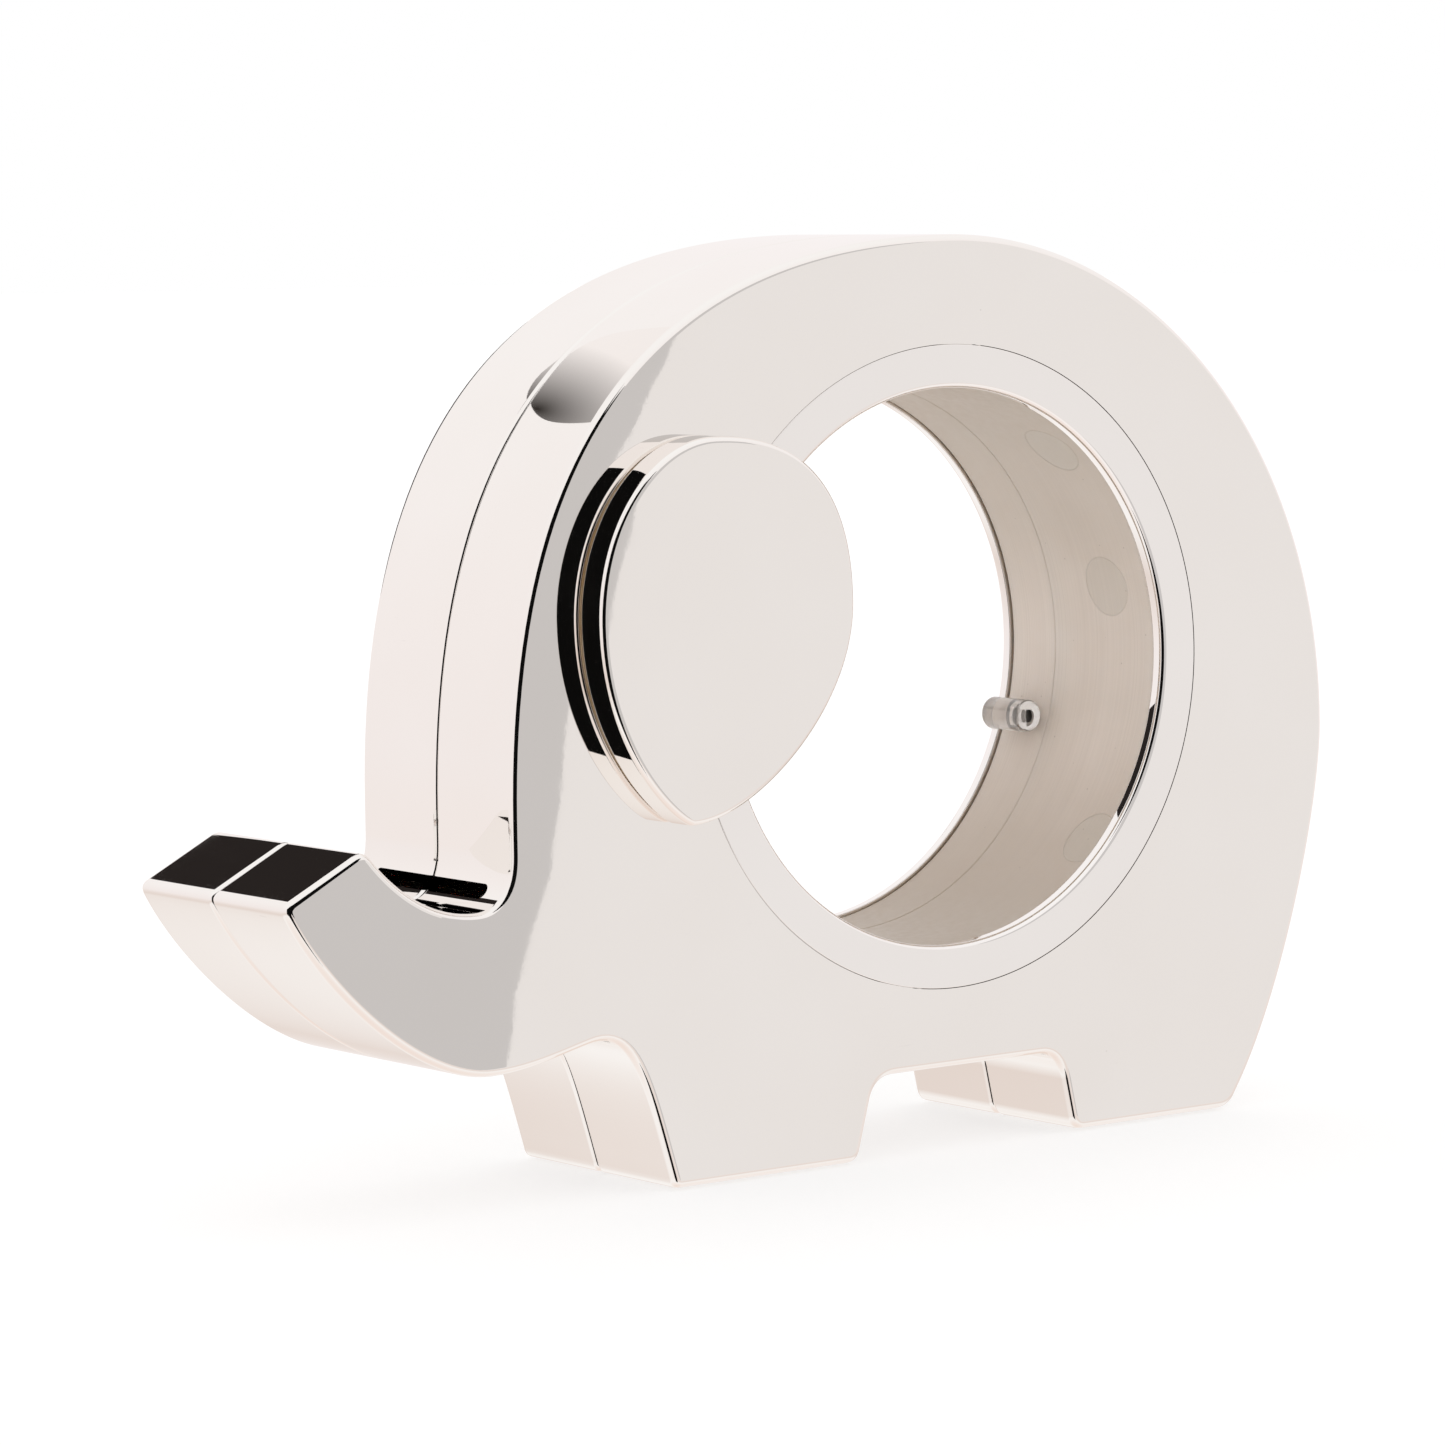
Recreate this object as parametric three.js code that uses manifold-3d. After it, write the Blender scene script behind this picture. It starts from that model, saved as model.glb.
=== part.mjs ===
// Elephant-shaped desk tape dispenser: two plated half shells that pull apart along Y,
// a frosted spool hub on the through hole between them, and ears of two stacked plates on the
// left and one on the right.
// Millimetres, +Z up. The elephant looks towards -X, its left side is the -Y side.
import * as THREE from 'three';
import { mergeVertices } from 'three/addons/utils/BufferGeometryUtils.js';
import Module from 'manifold-3d';

const wasm = await Module();
wasm.setup();

// ---- driving dimensions -------------------------------------------------------------------
const HALF_THICKNESS = 16.2; // one half shell, from the split plane to its flat side
const SPLIT_GAP = 0.15; // from the split plane to each half's rim
const PLAY = 0.25; // between pieces that touch
const HUB_X = 18.3; // hole axis, behind the middle of the object's length
const HUB_Z = 61.2; // hole axis above the table
const HOLE_RADIUS = 35;
const RING_RADIUS = 40.5; // outer edge of the flush ring round the hole
const RING_THICKNESS = 1.8;
const LEDGE_RADIUS = 43.4; // inner boss that carries the ring
const LEDGE_THICKNESS = 1.6;
const SIDE_WALL = 2;
const RIM_WALL = 2.4;
const FOOT_LEVEL = -60.9; // underside of the legs, from the hole axis
const BELLY_LEVEL = -50.5;
const PAD_THICKNESS = 1.2;
const PAD_PROUD = 0.3;

const SLEEVE_INNER = 35.35; // the hub carries a roll with a 76 mm core
const SLEEVE_OUTER = 37.6;
const SLEEVE_JOIN_Y = 5.5; // where the long sleeve meets the short one
const SPIGOT_LENGTH = 3;
const PEG_RADIUS = 2.15;
const PEG_ORBIT = 32.6;
const PEG_ANGLE = THREE.MathUtils.degToRad(-17.4);
const PEG_SPAN = [6, 13.4];

const EAR_SHIM_SPAN = [16.4, 16.75];
const EAR_PLATE_SPAN = [16.95, 21.3];
const EAR_SHIM_INSET = 0.9;

const MAGNET_RADIUS = 4;
const MAGNET_THICKNESS = 3;
const PIN_RADIUS = 1.5;
const PIN_LENGTH = 12;
const BOSS_WALL = 1.6;
const SCREW_RADIUS = 1;
const SCREW_HEAD_RADIUS = 1.9;
const SCREW_HEAD_HEIGHT = 1.1;
const SCREW_TIP = 19.6;

const SLOT_HALF_WIDTH = 12; // tape outlet at the root of the trunk
const SLOT_HEIGHT = 2;
const SLOT_CENTRE = [-67, -22.6];
const BLADE_HALF_WIDTH = 10.5;
const BLADE_THICKNESS = 0.5;
const BLADE_HEIGHT = 5;
const BLADE_TEETH = 14;
const TOOTH_HEIGHT = 0.8;

// Places in the side view, from the hole axis.
const MAGNET_PLACES = { head: [-53, 20], rear: [53.5, -18], leg: [-30, -54.3] };
const PIN_PLACES = { trunk: [-79, -32.5], brow: [-39.6, 38.2], rump: [33, -55.3] };
const EAR_SCREW_PLACES = { upper: [-42, 18], lower: [-47, -4] };
const PAD_PLACES = { front: [-30.4, 22], rear: [32.6, 18] }; // centre and length along X

const SIDES = { left: -1, right: 1 };
const CURVE_STEPS = 18;
const ROUND_SEGMENTS = 72;
const SMALL_SEGMENTS = 20;

// ---- materials ----------------------------------------------------------------------------
const finish = (color, roughness, metalness) => ({ color, roughness, metalness });
const FINISHES = {
  plate: finish(0xe9e5e2, 0.04, 1),
  ringPlate: finish(0xece8e5, 0.04, 1),
  frosted: finish(0xcdc2b4, 0.55, 0),
  clear: finish(0xe6e0d8, 0.15, 0),
  shim: finish(0xd9b98a, 0.35, 0),
  steel: finish(0xb9bbbd, 0.3, 1),
  magnet: finish(0xa9abae, 0.25, 1),
  pad: finish(0xd8d4cf, 0.8, 0),
};

// ---- solids -------------------------------------------------------------------------------
const point = (x, z) => new THREE.Vector2(x, z);

const bezier = (steps, ...ends) =>
  new THREE.CubicBezierCurve(...ends.map(([x, z]) => point(x, z))).getPoints(steps);

const bend = (steps, ...ends) =>
  new THREE.QuadraticBezierCurve(...ends.map(([x, z]) => point(x, z))).getPoints(steps);

// Joins runs of points into one outline, without doubled points.
function joined(...runs) {
  const outline = [];
  for (const place of runs.flat()) {
    const last = outline[outline.length - 1];
    if (!last || last.distanceTo(place) > 0.01) outline.push(place);
  }
  if (outline[0].distanceTo(outline[outline.length - 1]) < 0.01) outline.pop();
  return outline;
}

// Moves each point of a run sideways; a positive distance goes to the right of its direction.
function offset(run, distance) {
  return run.map((place, index) => {
    const before = run[Math.max(index - 1, 0)];
    const after = run[Math.min(index + 1, run.length - 1)];
    const along = after.clone().sub(before).normalize();
    return point(place.x + along.y * distance, place.y - along.x * distance);
  });
}

// An extruded side view between two stations along Y.
function slab(outline, from, to) {
  const low = Math.min(from, to);
  const high = Math.max(from, to);
  const options = { depth: high - low, bevelEnabled: false };
  const geometry = new THREE.ExtrudeGeometry(new THREE.Shape(outline), options);
  return geometry.rotateX(Math.PI / 2).translate(0, high, 0);
}

// A round bar along Y.
function bar(radius, [x, z], from, to, segments = SMALL_SEGMENTS) {
  const geometry = new THREE.CylinderGeometry(radius, radius, Math.abs(to - from), segments);
  return geometry.translate(x, (from + to) / 2, z);
}

// A ring about the hole axis, from its section as [radius, y] corners.
function turned(corners, segments = ROUND_SEGMENTS) {
  const closed = [...corners, corners[0]];
  return new THREE.LatheGeometry(closed.map(([radius, y]) => point(radius, y)), segments);
}

// A tube about the hole axis between two stations along Y.
function tube(inner, outer, from, to, segments = ROUND_SEGMENTS) {
  const low = Math.min(from, to);
  const high = Math.max(from, to);
  return turned([[outer, low], [outer, high], [inner, high], [inner, low]], segments);
}

function solid(geometry) {
  const bare = geometry.clone();
  bare.deleteAttribute('normal');
  bare.deleteAttribute('uv');
  const merged = mergeVertices(bare, 1e-4);
  return new wasm.Manifold(new wasm.Mesh({
    numProp: 3,
    vertProperties: new Float32Array(merged.attributes.position.array),
    triVerts: new Uint32Array(merged.index.array),
  }));
}

function surface(body) {
  const { vertProperties, triVerts } = body.getMesh();
  const geometry = new THREE.BufferGeometry();
  geometry.setAttribute('position', new THREE.BufferAttribute(vertProperties, 3));
  geometry.setIndex(new THREE.BufferAttribute(triVerts, 1));
  return geometry;
}

function carved(base, added, removed) {
  let body = solid(base);
  for (const extra of added) body = body.add(solid(extra));
  for (const cut of removed) body = body.subtract(solid(cut));
  return surface(body);
}

function clipped(base, limit) {
  return surface(solid(base).intersect(solid(limit)));
}

const dispenser = new THREE.Group();
dispenser.position.set(HUB_X, 0, HUB_Z);

function place(name, geometry, finishName) {
  const mesh = new THREE.Mesh(geometry, new THREE.MeshStandardMaterial(FINISHES[finishName]));
  mesh.name = name;
  dispenser.add(mesh);
  return mesh;
}

// ---- outlines -----------------------------------------------------------------------------
const FOREHEAD = [-67.6, -14.3];
const CROWN = [0.5, 54.1];
const RUMP = [63.1, -11.2];
const HEEL = [46, FOOT_LEVEL];

const browCurve = bezier(CURVE_STEPS, FOREHEAD, [-67.6, 40.5], [-35.4, 54.1], CROWN);
const backCurve = bezier(CURVE_STEPS, CROWN, [33.8, 54.1], [63.1, 26.2], RUMP);
const rumpCurve = bezier(12, RUMP, [63.1, -22.2], [55.5, -49.4], HEEL);

// The whole side view, clockwise from the root of the trunk's top.
function bodyOutline() {
  return joined(
    bezier(8, [-72.8, -24.5], [-69.6, -24.5], [-67.6, -22.5], [-67.6, -18]),
    browCurve,
    backCurve,
    rumpCurve,
    [point(20.8, FOOT_LEVEL)],
    bend(3, [20.8, FOOT_LEVEL], [19.4, FOOT_LEVEL], [19, -59.2]),
    bend(4, [17.9, -54.2], [17, BELLY_LEVEL], [13.8, BELLY_LEVEL]),
    bend(4, [-10, BELLY_LEVEL], [-13.2, BELLY_LEVEL], [-13.9, -53.6]),
    bend(3, [-15.4, -59], [-15.8, FOOT_LEVEL], [-17.4, FOOT_LEVEL]),
    bend(3, [-43.6, FOOT_LEVEL], [-44.6, FOOT_LEVEL], [-44.8, -59.6]),
    bezier(8, [-44.8, -59.6], [-48.3, -48], [-50, -40.9], [-56, -41.7]),
    bezier(4, [-56, -41.7], [-59, -42.2], [-65, -44.2], [-71, -44.2]),
    bezier(12, [-71, -44.2], [-82, -44.2], [-95, -31], [-99.5, -22.6]),
    bend(3, [-99.5, -22.6], [-100.1, -21.4], [-98.8, -20.8]),
    bend(3, [-89.9, -16.3], [-88.4, -15.5], [-87.3, -17]),
    bezier(6, [-87.3, -17], [-84, -20.8], [-79, -24.5], [-72.8, -24.5]),
  );
}

// The room inside: one wall thickness inside the rim, closed off from the trunk and legs.
function cavityOutline() {
  return joined(
    [point(-65.2, -28)],
    offset(joined(browCurve, backCurve, rumpCurve.slice(0, 8)), RIM_WALL),
    [[52, -45.5], [48, -48.6], [-38, -48.6], [-44, -43], [-50, -38.5], [-58, -36.5]]
      .map(([x, z]) => point(x, z)),
  );
}

function earOutline() {
  return joined(
    bezier(10, [-57.6, 9], [-57.6, 21.1], [-49.3, 30.7], [-40.3, 30.7]),
    bezier(12, [-40.3, 30.7], [-25.3, 30.7], [-19.3, 22.2], [-19.3, 9.7]),
    bezier(12, [-19.3, 9.7], [-19.3, -3.6], [-34.9, -16], [-44.4, -16]),
    bezier(10, [-44.4, -16], [-46.1, -16], [-57.6, -7.1], [-57.6, 9]),
  );
}

// ---- half shells --------------------------------------------------------------------------
const ledgeOuterStation = HALF_THICKNESS - RING_THICKNESS - PLAY;
const ledgeInnerStation = ledgeOuterStation - LEDGE_THICKNESS;
const cavityDepth = HALF_THICKNESS - SIDE_WALL;
const pinPocketDepth = PIN_LENGTH / 2 + PLAY;

function bossParts(side) {
  const magnetBoss = MAGNET_RADIUS + PLAY + BOSS_WALL;
  const pinBoss = PIN_RADIUS + PLAY + BOSS_WALL;
  const span = [side * SPLIT_GAP, side * (HALF_THICKNESS - 1)];
  return [
    ...Object.values(MAGNET_PLACES).map((spot) => bar(magnetBoss, spot, ...span)),
    ...Object.values(PIN_PLACES).map((spot) => bar(pinBoss, spot, ...span)),
  ];
}

function pocketParts(side) {
  const magnetDepth = SPLIT_GAP + MAGNET_THICKNESS + 2 * PLAY;
  return [
    ...Object.values(MAGNET_PLACES).map((spot) =>
      bar(MAGNET_RADIUS + PLAY, spot, -side, side * magnetDepth)),
    ...Object.values(PIN_PLACES).map((spot) =>
      bar(PIN_RADIUS + PLAY, spot, -side, side * pinPocketDepth)),
    ...Object.values(EAR_SCREW_PLACES).map((spot) =>
      bar(SCREW_RADIUS + PLAY, spot, side * 10, side * 20)),
  ];
}

function padBox([centre, length], side, grow) {
  const width = 10 + 2 * grow;
  const height = PAD_THICKNESS + grow;
  const geometry = new THREE.BoxGeometry(length + 2 * grow, width, height);
  return geometry.translate(centre, side * 8, FOOT_LEVEL - PAD_PROUD + height / 2);
}

function tapeSlot() {
  const [x, z] = SLOT_CENTRE;
  const geometry = new THREE.BoxGeometry(12, 2 * SLOT_HALF_WIDTH, SLOT_HEIGHT);
  return geometry.translate(x, 0, z);
}

// The blade lies just behind the trunk's tip, square to the trunk's upper curve.
function bladeFrame(geometry) {
  return geometry.rotateY(THREE.MathUtils.degToRad(-35)).translate(-85.9, 0, -19.6);
}

function shell(side) {
  const outer = slab(bodyOutline(), side * SPLIT_GAP, side * HALF_THICKNESS);
  const room = slab(cavityOutline(), -side, side * cavityDepth);
  const outside = side * (HALF_THICKNESS + 2);
  const ledgeRoot = side * (HALF_THICKNESS - 0.5);
  const ledge = tube(HOLE_RADIUS - 4, LEDGE_RADIUS, side * ledgeInnerStation, ledgeRoot);
  const bosses = bossParts(side).map((boss) => clipped(boss, outer));
  const bladeSlot = new THREE.BoxGeometry(
    BLADE_THICKNESS + 2 * PLAY, 2 * (BLADE_HALF_WIDTH + PLAY), BLADE_HEIGHT + 2 * PLAY);
  const hollow = carved(outer, [], [room]);
  return carved(hollow, [ledge, ...bosses], [
    bar(SLEEVE_OUTER + 2 * PLAY, [0, 0], -side, outside, ROUND_SEGMENTS),
    bar(RING_RADIUS, [0, 0], side * ledgeOuterStation, outside, ROUND_SEGMENTS),
    ...pocketParts(side),
    ...Object.values(PAD_PLACES).map((spot) => padBox(spot, side, PLAY)),
    tapeSlot(),
    bladeFrame(bladeSlot),
  ]);
}

for (const [name, side] of Object.entries(SIDES)) {
  place(`${name}_shell`, shell(side), 'plate');
  place(
    `${name}_ring_plate`,
    tube(HOLE_RADIUS, RING_RADIUS - PLAY, side * (HALF_THICKNESS - RING_THICKNESS), side * HALF_THICKNESS),
    'ringPlate',
  );
  for (const [where, spot] of Object.entries(MAGNET_PLACES)) {
    const from = side * (SPLIT_GAP + PLAY);
    const magnet = bar(MAGNET_RADIUS, spot, from, from + side * MAGNET_THICKNESS);
    place(`${name}_${where}_magnet`, magnet, 'magnet');
  }
  for (const [where, spot] of Object.entries(PAD_PLACES)) {
    place(`${name}_${where}_foot_pad`, padBox(spot, side, 0), 'pad');
  }
}

// ---- locating pins and tape blade ---------------------------------------------------------
for (const [where, spot] of Object.entries(PIN_PLACES)) {
  place(`${where}_locating_pin`, bar(PIN_RADIUS, spot, -PIN_LENGTH / 2, PIN_LENGTH / 2), 'steel');
}

// A strip with saw teeth along its upper edge.
function blade() {
  const pitch = (2 * BLADE_HALF_WIDTH) / BLADE_TEETH;
  const top = BLADE_HEIGHT / 2;
  const outline = [point(-BLADE_HALF_WIDTH, -top), point(BLADE_HALF_WIDTH, -top)];
  for (let tooth = BLADE_TEETH; tooth > 0; tooth -= 1) {
    const edge = -BLADE_HALF_WIDTH + tooth * pitch;
    outline.push(point(edge, top - TOOTH_HEIGHT), point(edge - pitch / 2, top));
  }
  outline.push(point(-BLADE_HALF_WIDTH, top - TOOTH_HEIGHT));
  const options = { depth: BLADE_THICKNESS, bevelEnabled: false };
  const geometry = new THREE.ExtrudeGeometry(new THREE.Shape(outline), options);
  geometry.translate(0, 0, -BLADE_THICKNESS / 2).rotateX(Math.PI / 2).rotateZ(Math.PI / 2);
  return bladeFrame(geometry);
}
place('tape_cutter_blade', blade(), 'steel');

// ---- ears ---------------------------------------------------------------------------------
function screwHoles(side) {
  return Object.values(EAR_SCREW_PLACES).map((spot) =>
    bar(SCREW_RADIUS + PLAY, spot, side * 10, side * (SCREW_TIP + PLAY)));
}

function earPlate(side) {
  const [from, to] = EAR_PLATE_SPAN;
  return carved(slab(earOutline(), side * from, side * to), [], screwHoles(side));
}

// The shim stays within the ear's edge and clear of the ring plate and the hole.
function earShim(side) {
  const [from, to] = EAR_SHIM_SPAN;
  const outline = offset(earOutline(), EAR_SHIM_INSET);
  const ring = bar(RING_RADIUS + PLAY, [0, 0], side * 10, side * 20, ROUND_SEGMENTS);
  return carved(slab(outline, side * from, side * to), [], [ring, ...screwHoles(side)]);
}

// A pan-head screw along Y, its head inside the shell.
function earScrew(side, [x, z]) {
  const underHead = side * (cavityDepth - PLAY);
  const head = bar(SCREW_HEAD_RADIUS, [x, z], underHead - side * SCREW_HEAD_HEIGHT, underHead);
  const shank = bar(SCREW_RADIUS, [x, z], underHead - side * 0.5, side * SCREW_TIP);
  return carved(head, [shank], []);
}

for (const [name, side] of Object.entries(SIDES)) {
  place(`${name}_ear_shim`, earShim(side), 'shim');
  place(`${name}_ear_plate`, earPlate(side), 'plate');
  for (const [where, spot] of Object.entries(EAR_SCREW_PLACES)) {
    place(`${name}_ear_${where}_screw`, earScrew(side, spot), 'steel');
  }
}

// ---- spool hub ----------------------------------------------------------------------------
const sleeveEnd = HALF_THICKNESS - RING_THICKNESS - PLAY;
const sleeveMiddle = (SLEEVE_INNER + SLEEVE_OUTER) / 2;

// The long sleeve ends in an inner step, which the short sleeve's spigot overlaps.
const longSleeve = turned([
  [SLEEVE_OUTER, -sleeveEnd],
  [SLEEVE_OUTER, SLEEVE_JOIN_Y - SPIGOT_LENGTH],
  [sleeveMiddle - PLAY / 2, SLEEVE_JOIN_Y - SPIGOT_LENGTH],
  [sleeveMiddle - PLAY / 2, SLEEVE_JOIN_Y],
  [SLEEVE_INNER, SLEEVE_JOIN_Y],
  [SLEEVE_INNER, -sleeveEnd],
]);
place('hub_long_sleeve', longSleeve, 'frosted');

const shortSleeve = turned([
  [SLEEVE_OUTER, SLEEVE_JOIN_Y - SPIGOT_LENGTH + PLAY],
  [SLEEVE_OUTER, sleeveEnd],
  [SLEEVE_INNER, sleeveEnd],
  [SLEEVE_INNER, SLEEVE_JOIN_Y + PLAY],
  [sleeveMiddle + PLAY / 2, SLEEVE_JOIN_Y + PLAY],
  [sleeveMiddle + PLAY / 2, SLEEVE_JOIN_Y - SPIGOT_LENGTH + PLAY],
]);
const pegDirection = [Math.cos(PEG_ANGLE), Math.sin(PEG_ANGLE)];
const pegMiddle = (PEG_SPAN[0] + PEG_SPAN[1]) / 2;

// A radial bar through the sleeve wall beside the peg.
function pegStem(radius, from, to) {
  const geometry = new THREE.CylinderGeometry(radius, radius, to - from, SMALL_SEGMENTS);
  geometry.translate(0, (from + to) / 2, 0).rotateZ(-Math.PI / 2).rotateY(-PEG_ANGLE);
  return geometry.translate(0, pegMiddle, 0);
}
place('hub_short_sleeve', carved(shortSleeve, [], [pegStem(1.1 + PLAY, 30, 40)]), 'frosted');

const pegSpot = pegDirection.map((part) => part * PEG_ORBIT);
const pegSocket = new THREE.BoxGeometry(1, 5, 1.7).translate(pegSpot[0], PEG_SPAN[0], pegSpot[1]);
const peg = carved(bar(PEG_RADIUS, pegSpot, ...PEG_SPAN), [pegStem(1.1, PEG_ORBIT, 37.2)], [pegSocket]);
place('hub_finger_peg', peg, 'clear');

export default dispenser;
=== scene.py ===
# An elephant-shaped desk tape dispenser: two mirror-plated half shells round a frosted spool hub.
# The elephant looks towards -X and its left side is -Y. Outlines are in millimetres from the
# hub's axis.
import math
import bmesh
import bpy
from mathutils import Matrix, Vector


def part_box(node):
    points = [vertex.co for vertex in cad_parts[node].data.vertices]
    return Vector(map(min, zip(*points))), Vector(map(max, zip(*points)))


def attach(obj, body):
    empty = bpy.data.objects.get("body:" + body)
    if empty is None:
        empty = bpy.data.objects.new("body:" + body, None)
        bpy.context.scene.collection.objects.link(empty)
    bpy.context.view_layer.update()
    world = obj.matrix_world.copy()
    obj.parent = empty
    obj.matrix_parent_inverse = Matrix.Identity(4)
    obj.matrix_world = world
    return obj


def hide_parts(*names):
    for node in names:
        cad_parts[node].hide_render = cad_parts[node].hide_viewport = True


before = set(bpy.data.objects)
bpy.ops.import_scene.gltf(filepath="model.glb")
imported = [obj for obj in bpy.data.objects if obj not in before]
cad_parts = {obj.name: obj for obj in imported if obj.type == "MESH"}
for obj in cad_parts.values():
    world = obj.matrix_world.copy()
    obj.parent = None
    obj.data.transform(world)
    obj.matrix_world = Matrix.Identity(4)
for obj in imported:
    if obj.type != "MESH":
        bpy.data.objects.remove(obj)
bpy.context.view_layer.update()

MM = 0.001
hub_low, hub_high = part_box("hub_long_sleeve")
split_y = (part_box("left_shell")[1].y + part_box("right_shell")[0].y) / 2
HUB = Vector(((hub_low.x + hub_high.x) / 2, split_y, (hub_low.z + hub_high.z) / 2))

# ---- driving dimensions, in millimetres ----------------------------------------------------
HALF_THICKNESS = (split_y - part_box("left_shell")[0].y) / MM
SPLIT_GAP = (split_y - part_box("left_shell")[1].y) / MM
PLAY = 0.25
SIDE_ROUND = 1.0  # edge between a flat side and the rim
SEAM_ROUND = 0.65  # edge between the rim and the split plane
SEAM_GAP = 0.02
ROOM_ROUND = 1
HOLE_RADIUS = 35
RING_SEAT_RADIUS = 40.5
RING_RADIUS = 40.44
RING_THICKNESS = 1.8
RING_BORE_ROUND = 0.8
RING_RIM_ROUND = 0.12
LEDGE_RADIUS = 43.4
LEDGE_THICKNESS = 1.6
SIDE_WALL = 2
RIM_WALL = 2.4
FOOT_LEVEL = -60.9
BELLY_LEVEL = -50.5
SLEEVE_INNER = 35.35
SLEEVE_OUTER = 37.6
SLEEVE_JOIN_Y = 5.5
SPIGOT_LENGTH = 3
JOIN_GAP = 0.04
PEG_RADIUS = 2.15
PEG_ORBIT = 32.6
PEG_ANGLE = math.radians(-17.4)
PEG_SPAN = (6, 13.4)
PEG_STEM_RADIUS = 1.1
PEG_STEM_END = 37.2
PEG_SOCKET = (0.5, 2.5, 0.85)  # half its width, its depth, and half its height
EAR_SHIM_SPAN = (16.22, 16.58)
EAR_SHIM_INSET = 0.7
EAR_PLATE_SPAN = (16.6, 21.2)
EAR_PLATE_ROUNDS = (0.55, 0.8)  # towards the shell, and outside
MAGNET_RADIUS = 4
MAGNET_THICKNESS = 3
MAGNET_ROUND = 0.3
PIN_RADIUS = 1.5
PIN_LENGTH = 12
PIN_ROUND = 0.5
BOSS_WALL = 1.6
SCREW_RADIUS = 1
SCREW_HEAD_RADIUS = 1.9
SCREW_HEAD_HEIGHT = 1.1
SCREW_TIP = 19.6
SCREW_BORE = (10, 20)  # the hole's ends in a half shell
SCREW_RECESS = (1.15, 0.2, 0.65)  # half its length, half its width, and its depth
SLOT_CENTRE = (-67, -22.6)
SLOT_LENGTH = 24
SLOT_HEIGHT = 1.7
SLOT_REACH = 6
BLADE_CENTRE = (-85.9, -19.6)
BLADE_TILT = math.radians(35)
BLADE_SIZE = (0.5, 21, 5)
BLADE_TEETH = 14
TOOTH_HEIGHT = 0.8
PAD_PROUD = 0.3
PAD_THICKNESS = 1.2
PAD_WIDTH = 10
PAD_CORNER = 1.5
PAD_ROUND = 0.3
PAD_STATION = 8
MAGNET_PLACES = {"head": (-53, 20), "rear": (53.5, -18), "leg": (-30, -54.3)}
PIN_PLACES = {"trunk": (-79, -32.5), "brow": (-39.6, 38.2), "rump": (33, -55.3)}
EAR_SCREW_PLACES = {"upper": (-42, 18), "lower": (-47, -4)}
PAD_PLACES = {"front": (-30.4, 22), "rear": (32.6, 18)}
EJECTOR_MARKS = ((-6.0, 12.8), (-7.85, 47.7), (-12.0, -43.0))  # y, and degrees above +X
SIDES = {"left": -1, "right": 1}
LONG_STEPS = 56
ROUND_STEPS = 6
HUB_SEGMENTS = 288


# ---- outlines ------------------------------------------------------------------------------
def bezier(steps, *ends):
    """Points along a quadratic or cubic curve."""
    ends = [Vector(end) for end in ends]
    degree = len(ends) - 1
    places = []
    for step in range(steps + 1):
        t = step / steps
        weights = [math.comb(degree, k) * t**k * (1 - t) ** (degree - k) for k in range(degree + 1)]
        places.append(sum((end * weight for end, weight in zip(ends, weights)), Vector((0, 0))))
    return places


def joined(*runs):
    """One closed outline from runs of points, without doubled points."""
    outline = []
    for run in runs:
        for place in run:
            if not outline or (outline[-1] - place).length > 0.01:
                outline.append(place)
    if (outline[0] - outline[-1]).length < 0.01:
        outline.pop()
    return outline


FOREHEAD = (-67.6, -14.3)
CROWN = (0.5, 54.1)
RUMP = (63.1, -11.2)
HEEL = (46, FOOT_LEVEL)
brow_curve = bezier(LONG_STEPS, FOREHEAD, (-67.6, 40.5), (-35.4, 54.1), CROWN)
back_curve = bezier(LONG_STEPS, CROWN, (33.8, 54.1), (63.1, 26.2), RUMP)
rump_curve = bezier(32, RUMP, (63.1, -22.2), (55.5, -49.4), HEEL)


def body_outline():
    """The whole side view, clockwise from the root of the trunk's top."""
    foot, belly = FOOT_LEVEL, BELLY_LEVEL
    return joined(
        bezier(16, (-72.8, -24.5), (-69.6, -24.5), (-67.6, -22.5), (-67.6, -18)),
        brow_curve,
        back_curve,
        rump_curve[:-2],
        bezier(6, (47, -59.7), (46, foot), (44.2, foot)),
        bezier(5, (20.8, foot), (19.4, foot), (19, -59.2)),
        bezier(10, (17.9, -54.2), (17, belly), (13.8, belly)),
        bezier(10, (-10, belly), (-13.2, belly), (-13.9, -53.6)),
        bezier(5, (-15.4, -59), (-15.8, foot), (-17.4, foot)),
        bezier(5, (-43.6, foot), (-44.6, foot), (-44.8, -59.6)),
        bezier(20, (-44.8, -59.6), (-48.3, -48), (-50, -40.9), (-56, -41.7)),
        bezier(12, (-56, -41.7), (-59, -42.2), (-65, -44.2), (-71, -44.2)),
        bezier(32, (-71, -44.2), (-82, -44.2), (-95, -31), (-99.5, -22.6)),
        bezier(6, (-99.5, -22.6), (-100.1, -21.4), (-98.8, -20.8)),
        bezier(6, (-89.9, -16.3), (-88.4, -15.5), (-87.3, -17)),
        bezier(18, (-87.3, -17), (-84, -20.8), (-79, -24.5), (-72.8, -24.5)),
    )


def ear_outline():
    return joined(
        bezier(36, (-57.6, 9), (-57.6, 21.1), (-49.3, 30.7), (-40.3, 30.7)),
        bezier(40, (-40.3, 30.7), (-25.3, 30.7), (-19.3, 22.2), (-19.3, 9.7)),
        bezier(40, (-19.3, 9.7), (-19.3, -3.6), (-34.9, -16), (-44.4, -16)),
        bezier(36, (-44.4, -16), (-46.1, -16), (-57.6, -7.1), (-57.6, 9)),
    )


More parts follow.
